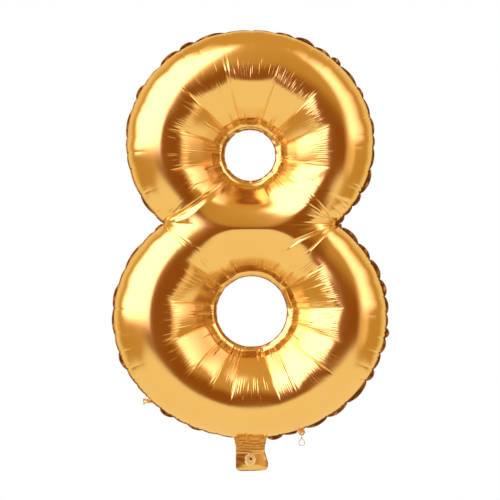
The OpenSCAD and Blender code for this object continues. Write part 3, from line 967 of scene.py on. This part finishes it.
def makePortShade():
    # painted shade in the inflation hole: a small near-black dish behind the patch, on the front film, that
    # stands in for the shade inside the hole
    a = np.linspace(0, 2 * np.pi, 40, endpoint=False)
    r = np.linspace(0.05, 1.3, 8)
    gridX = port["x"] + port["holeAt"][0] + r[None, :] * np.cos(a)[:, None]
    gridZ = port["z"] + port["holeAt"][1] + r[None, :] * np.sin(a)[:, None]
    sections = bothFaces(gridX, filmFront(gridX, gridZ) - 0.10, gridZ, 0.06)
    obj = closedSolid("port_hole_painted_shade", sections.reshape(-1, 3), sweptRing(sections), portHolePaintedShade)
    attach(obj, "tail")
    return obj


portShade = makePortShade()
print("port")

tabs = {
    "left": {"outline": [(5.5, 1.6), (2.2, 1.5), (0.2, 1.5), (-1.6, 2.1), (-4.5, 2.7), (-4.4, 0.6),
                         (-4.5, -2.9), (-1.8, -2.3), (0.2, -1.6), (2.2, -1.5), (5.5, -1.6)],
             "eyelet": (-2.9, 0.0), "pinchAt": 0.2, "root": ((-0.0835, 0, 0.0415), (-0.0885, 0, 0.0415))},
    "right": {"outline": [(-2.2, 4.6), (2.2, 4.6), (2.4, 1.2), (3.3, -1.0), (2.4, -2.4), (1.4, -3.3),
                          (0, -3.5), (-1.4, -3.3), (-2.4, -2.4), (-3.3, -1.0), (-2.4, 1.2)],
              "eyelet": (0.0, -2.0), "pinchAt": 1.0, "root": ((0.045, 0, 0.0200), (0.045, 0, 0.0160))},
    "thickness": 0.34, "eyeletRadius": 0.75, "crumple": 0.45,
}


def makeTab(side, lengthways):
    # crumpled where it is pinched: sine folds run along the tab, widen away from the pinch and die out
    t = tabs[side]

    def bend(x, z):
        # lengthways is the direction the tab points in, 0 for x and 1 for z
        along, across = (x, z) if lengthways == 0 else (z, x)
        off = np.abs(along - t["pinchAt"])
        fold = np.sin(across * 3.3 / (0.6 + 0.22 * off) + 0.4) * np.exp(-(off / 3.2) ** 2)
        return tabs["crumple"] * fold + 0.25 * np.sin(across * 1.2 + along * 0.6)

    x, z = tabPlaces[side]
    obj = punchedSheet(side + "_tab", t["outline"], t["eyelet"], tabs["eyeletRadius"], (x, 0, z),
                       tabs["thickness"], bend, tailFilm, steps=160, rings=16)
    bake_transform(obj)
    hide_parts(side + "_hanging_tab")


makeTab("left", 0)
makeTab("right", 1)
print("tabs")

# thread
thread = {"radius": 0.3, "plies": 2, "pitch": 1.1, "around": 20, "ply": 0.16, "legs": 0.95, "knot": 0.165}
threadFibre = filmMaterial("threadFibre", (0.70, 0.60, 0.52), (0.50, 0.39, 0.30), 0.55, crinkle=2500.0,
                           bump=0.6, metallic=0.0)


def sweptThread(points, radius):
    # tube round a closed path; its section has one bulge per ply and turns once every pitch
    p = np.array(points, float)
    t = np.roll(p, -1, axis=0) - np.roll(p, 1, axis=0)
    t /= np.linalg.norm(t, axis=1)[:, None]
    seg = np.linalg.norm(p - np.roll(p, 1, axis=0), axis=1)
    run = np.cumsum(seg)
    turns = max(1, round(run[-1] / thread["pitch"]))
    flat = np.linalg.svd(p - p.mean(axis=0))[2][2]
    a = np.cross(t, flat)
    a /= np.linalg.norm(a, axis=1)[:, None]
    b = np.cross(t, a)
    phi = np.linspace(0, 2 * np.pi, thread["around"], endpoint=False)
    twist = 2 * np.pi * turns * run / run[-1]
    swell = 1 + thread["ply"] * np.cos(thread["plies"] * phi[None, :] - twist[:, None] * 2)
    r = radius * swell
    across, over = (r * np.cos(phi))[:, :, None], (r * np.sin(phi))[:, :, None]
    return p[:, None, :] + a[:, None, :] * across + b[:, None, :] * over


def makeThread():
    # the link goes up in front, through the eyelet and down behind; the loop hangs as a teardrop
    tieBox = [1000 * np.array(v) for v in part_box("thread_tie")]
    loopBox = [1000 * np.array(v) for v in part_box("thread_loop")]
    x = (tieBox[0][0] + tieBox[1][0]) / 2
    top = tieBox[1][2] - 0.3
    knot = tieBox[0][2] + 0.65
    half = thread["legs"]
    v = np.radians(np.linspace(0, 180, 40))
    arch = np.stack([0 * v + x, -half * np.cos(v), top - half + half * np.sin(v)], axis=1)
    v = np.linspace(0, 1, 24)[1:]
    down = np.stack([0 * v + x, half * (1 - v) ** 0.8, (top - half) * (1 - v) + knot * v], axis=1)
    v = v[:-1]
    up = np.stack([0 * v + x, -half * v ** 0.8, knot * (1 - v) + (top - half) * v], axis=1)
    link = sweptThread(np.concatenate([arch, down, up]), thread["radius"])
    tie = closedSolid("thread_link", link.reshape(-1, 3), sweptRing(link), threadFibre)
    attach(tie, "thread_tie")
    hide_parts("thread_tie")

    # overhand knot drawn tight: a short trefoil of the same thread
    s = np.linspace(0, 2 * np.pi, 120, endpoint=False)
    size = thread["knot"]
    turns = np.stack([x + size * (np.sin(s) + 2 * np.sin(2 * s)), -0.34 * np.sin(3 * s),
                      knot + size * (np.cos(s) - 2 * np.cos(2 * s))], axis=1)
    ball = sweptThread(turns, thread["radius"] * 0.8)
    knotPiece = closedSolid("thread_knot", ball.reshape(-1, 3), sweptRing(ball), threadFibre)
    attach(knotPiece, "thread_tie")

    # the loop: a circle drawn to a point at the knot by a half-angle sine
    lo, hi = loopBox
    v = np.linspace(0, 2 * np.pi, 160, endpoint=False)
    halfW = (hi[0] - lo[0]) / 2 - thread["radius"]
    loopTop, loopFoot = knot - 0.45, lo[2] + thread["radius"]
    mid, halfH = (loopTop + loopFoot) / 2, (loopTop - loopFoot) / 2
    lx = x + halfW * np.sin(v) * np.sin(v / 2) ** 0.75 * 1.13
    lz = mid + halfH * np.cos(v)
    ly = 0.25 * np.sin(v)
    drop = sweptThread(np.stack([lx, ly, lz], axis=1), thread["radius"] * 0.95)
    loopPiece = closedSolid("thread_drop", drop.reshape(-1, 3), sweptRing(drop), threadFibre)
    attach(loopPiece, "thread_loop")
    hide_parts("thread_loop")


makeThread()
print("thread")

# valve inside the neck
valveFilm = filmMaterial("valveFilm", (0.80, 0.80, 0.78), (0.70, 0.70, 0.68), 0.25, crinkle=300.0,
                         metallic=0.0)
printInk = filmMaterial("printInk", (0.86, 0.85, 0.80), (0.72, 0.70, 0.64), 0.6, crinkle=700.0, metallic=0.0)
valve = {"heldTo": 15.0, "looseFrom": 40.0, "sway": 0.9, "ruffle": 0.5, "parting": 1.6,
         "rows": 140, "columns": 24}


def valveSheet(name, node, y0, thickness, material, seed):
    # a long strip: held flat in the neck, loosely waved by two sines above it, and parted from its pair
    lo, hi = [1000 * np.array(v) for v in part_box(node)]
    gridX, gridZ = np.meshgrid(np.linspace(lo[0], hi[0], valve["columns"]),
                               np.linspace(hi[2], lo[2], valve["rows"]))
    free = smoothStep(valve["heldTo"], valve["looseFrom"], gridZ)
    sway = valve["sway"] * np.sin(gridZ / 7 + seed) + valve["ruffle"] * np.sin(gridX / 4 + gridZ / 11)
    gridY = y0 + free * (sway + math.copysign(valve["parting"], y0))
    gridY = gridY + tailBend(gridX, gridZ) * smoothStep(12, 9.5, gridZ)
    sections = bothFaces(gridX, gridY, gridZ, thickness / 2)
    obj = closedSolid(name, sections.reshape(-1, 3), cappedFaces(sections), material)
    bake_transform(obj)
    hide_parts(node)
    return obj


valveSheet("valve_front", "valve_front_film", -0.1, 0.1, valveFilm, 0.4)
valveSheet("valve_back", "valve_back_film", 0.1, 0.1, valveFilm, 2.0)
valveSheet("valve_print", "valve_channel_print", 0.001, 0.04, printInk, 1.0)
print("valve")

# studio
world = bpy.data.worlds.new("studio")
scene.world = world
world.use_nodes = True

# directions are in degrees: azimuth 0 is towards the camera and grows to the right, elevation 0 is level
room = {
    "floor": (0.968, 0.763, 0.397),
    "wall": (0.58, 0.315, 0.065),
    "dark": (0.27, 0.078, 0.005),
    "behind": (0.92, 0.677, 0.285),
    "ceiling": (0.658, 0.37, 0.086),
    "horizon": (-17.0, -9.0),
    "sideDrop": 15.0,    # the floor's edge lies this much lower on both sides
}
# each light: azimuth edges and elevation edges with the width of each soft edge, then strength and tint
lights = [
    {"az": (-90, -11), "azSoft": (28, 7), "el": (-2, 62), "elSoft": (6, 26),
     "power": 2.7, "tint": (0.968, 0.763, 0.648)},
    {"az": (40, 78), "azSoft": (16, 40), "el": (3, 56), "elSoft": (10, 28),
     "power": 1.5, "tint": (0.968, 0.748, 0.648)},
    {"az": (30, 57), "azSoft": (10, 12), "el": (-17, 12), "elSoft": (10, 14),
     "power": 0.4, "tint": (0.968, 0.748, 0.432)},
]


def buildWorld():
    # white for the camera; for everything else the room colour at that direction plus each light's
    # power x azimuth window x elevation window, where a window is the product of two smooth steps
    nodes, links = world.node_tree.nodes, world.node_tree.links
    nodes.clear()
    coord = nodes.new("ShaderNodeTexCoord")
    sep = nodes.new("ShaderNodeSeparateXYZ")
    links.new(coord.outputs["Generated"], sep.inputs[0])

    def calc(op, *args):
        # one math node, numbers set and outputs linked
        node = nodes.new("ShaderNodeMath")
        node.operation = op
        for k, v in enumerate(args):
            if isinstance(v, (int, float)):
                node.inputs[k].default_value = v
            else:
                links.new(v, node.inputs[k])
        return node.outputs[0]

    degree = 180 / math.pi
    towards = calc("MULTIPLY", sep.outputs[1], -1.0)
    azimuth = calc("MULTIPLY", calc("ARCTAN2", sep.outputs[0], towards), degree)
    elevation = calc("MULTIPLY", calc("ARCSINE", sep.outputs[2]), degree)

    def step(v, lo, hi):
        # smooth step from 0 at lo to 1 at hi
        node = nodes.new("ShaderNodeMapRange")
        node.interpolation_type = "SMOOTHSTEP"
        links.new(v, node.inputs["Value"])
        node.inputs["From Min"].default_value = lo
        node.inputs["From Max"].default_value = hi
        return node.outputs["Result"]

    def window(v, edges, soft):
        # 1 between two edges, each softened over its own width
        rise = step(v, edges[0] - soft[0] / 2, edges[0] + soft[0] / 2)
        fall = step(v, edges[1] - soft[1] / 2, edges[1] + soft[1] / 2)
        return calc("MULTIPLY", rise, calc("SUBTRACT", 1.0, fall))

    def mixed(fac, a, b, kind="MIX"):
        # colour mix of a and b by a factor
        node = nodes.new("ShaderNodeMix")
        node.data_type = "RGBA"
        node.blend_type = kind
        if isinstance(fac, float):
            node.inputs["Factor"].default_value = fac
        else:
            links.new(fac, node.inputs["Factor"])
        for socket, v in ((node.inputs[6], a), (node.inputs[7], b)):
            if isinstance(v, tuple):
                socket.default_value = (*v, 1)
            else:
                links.new(v, socket)
        return node.outputs[2]

    c = mixed(step(elevation, 20, 70), room["wall"], room["ceiling"])
    darkSpot = calc("MULTIPLY", window(azimuth, (-26, 38), (24, 24)), window(elevation, (-30, 14), (10, 22)))
    c = mixed(darkSpot, c, room["dark"])
    behind = calc("MULTIPLY", calc("SUBTRACT", 1.0, window(azimuth, (-114, 114), (30, 30))),
                  calc("SUBTRACT", 1.0, step(elevation, 28, 60)))
    c = mixed(behind, c, room["behind"])
    backSpot = calc("MULTIPLY", calc("SUBTRACT", 1.0, window(azimuth, (-152, 152), (24, 24))),
                    window(elevation, (-30, 14), (10, 22)))
    c = mixed(backSpot, c, room["dark"])
    sides = calc("SUBTRACT", 1.0, window(azimuth, (-42, 42), (40, 40)))
    lowered = calc("MULTIPLY_ADD", sides, room["sideDrop"], elevation)
    c = mixed(calc("SUBTRACT", 1.0, step(lowered, *room["horizon"])), c, room["floor"])
    for light in lights:
        mask = calc("MULTIPLY", window(azimuth, light["az"], light["azSoft"]),
                    window(elevation, light["el"], light["elSoft"]))
        glow = mixed(mask, (0.0, 0.0, 0.0), tuple(light["power"] * v for v in light["tint"]))
        c = mixed(1.0, c, glow, "ADD")
    glossy = nodes.new("ShaderNodeBackground")
    links.new(c, glossy.inputs["Color"])
    plain = nodes.new("ShaderNodeBackground")
    plain.inputs["Color"].default_value = (1, 1, 1, 1)
    path = nodes.new("ShaderNodeLightPath")
    mix = nodes.new("ShaderNodeMixShader")
    links.new(path.outputs["Is Camera Ray"], mix.inputs[0])
    links.new(glossy.outputs[0], mix.inputs[1])
    links.new(plain.outputs[0], mix.inputs[2])
    out = nodes.new("ShaderNodeOutputWorld")
    links.new(mix.outputs[0], out.inputs["Surface"])


buildWorld()

floorDisc = {"radius": 1.0, "height": -0.55}  # metres


def makeFloor():
    # pale round floor well below the hanging tail; the film mirrors the room and not this disc
    m = bpy.data.materials.new("floorPaint")
    m.use_nodes = True
    shader = m.node_tree.nodes["Principled BSDF"]
    shader.inputs["Base Color"].default_value = (0.80, 0.82, 0.85, 1)
    shader.inputs["Roughness"].default_value = 0.9
    shader.inputs["Emission Color"].default_value = (0.90, 0.96, 1.0, 1)
    shader.inputs["Emission Strength"].default_value = 0.45
    a = np.linspace(0, 2 * np.pi, 96, endpoint=False)
    rim = np.stack([floorDisc["radius"] * np.cos(a), floorDisc["radius"] * np.sin(a),
                    np.full(a.shape, floorDisc["height"])], axis=1)
    mesh = bpy.data.meshes.new("floor")
    mesh.from_pydata(rim.tolist(), [], [list(range(len(a)))])
    mesh.materials.append(m)
    obj = bpy.data.objects.new("floor", mesh)
    scene.collection.objects.link(obj)
    obj.visible_glossy = False
    obj.visible_diffuse = False


makeFloor()
print("studio")

# camera: level, straight on, a long lens
cam = bpy.data.objects.new("camera", bpy.data.cameras.new("camera"))
scene.collection.objects.link(cam)
scene.camera = cam
shot = {"distance": 1.2, "frameWidth": 0.435, "height": 0.1731}
cam.data.sensor_width = 36.0
cam.data.lens = 36.0 * shot["distance"] / shot["frameWidth"]
cam.location = (0.0, -shot["distance"], shot["height"])
cam.rotation_euler = (math.pi / 2, 0, 0)
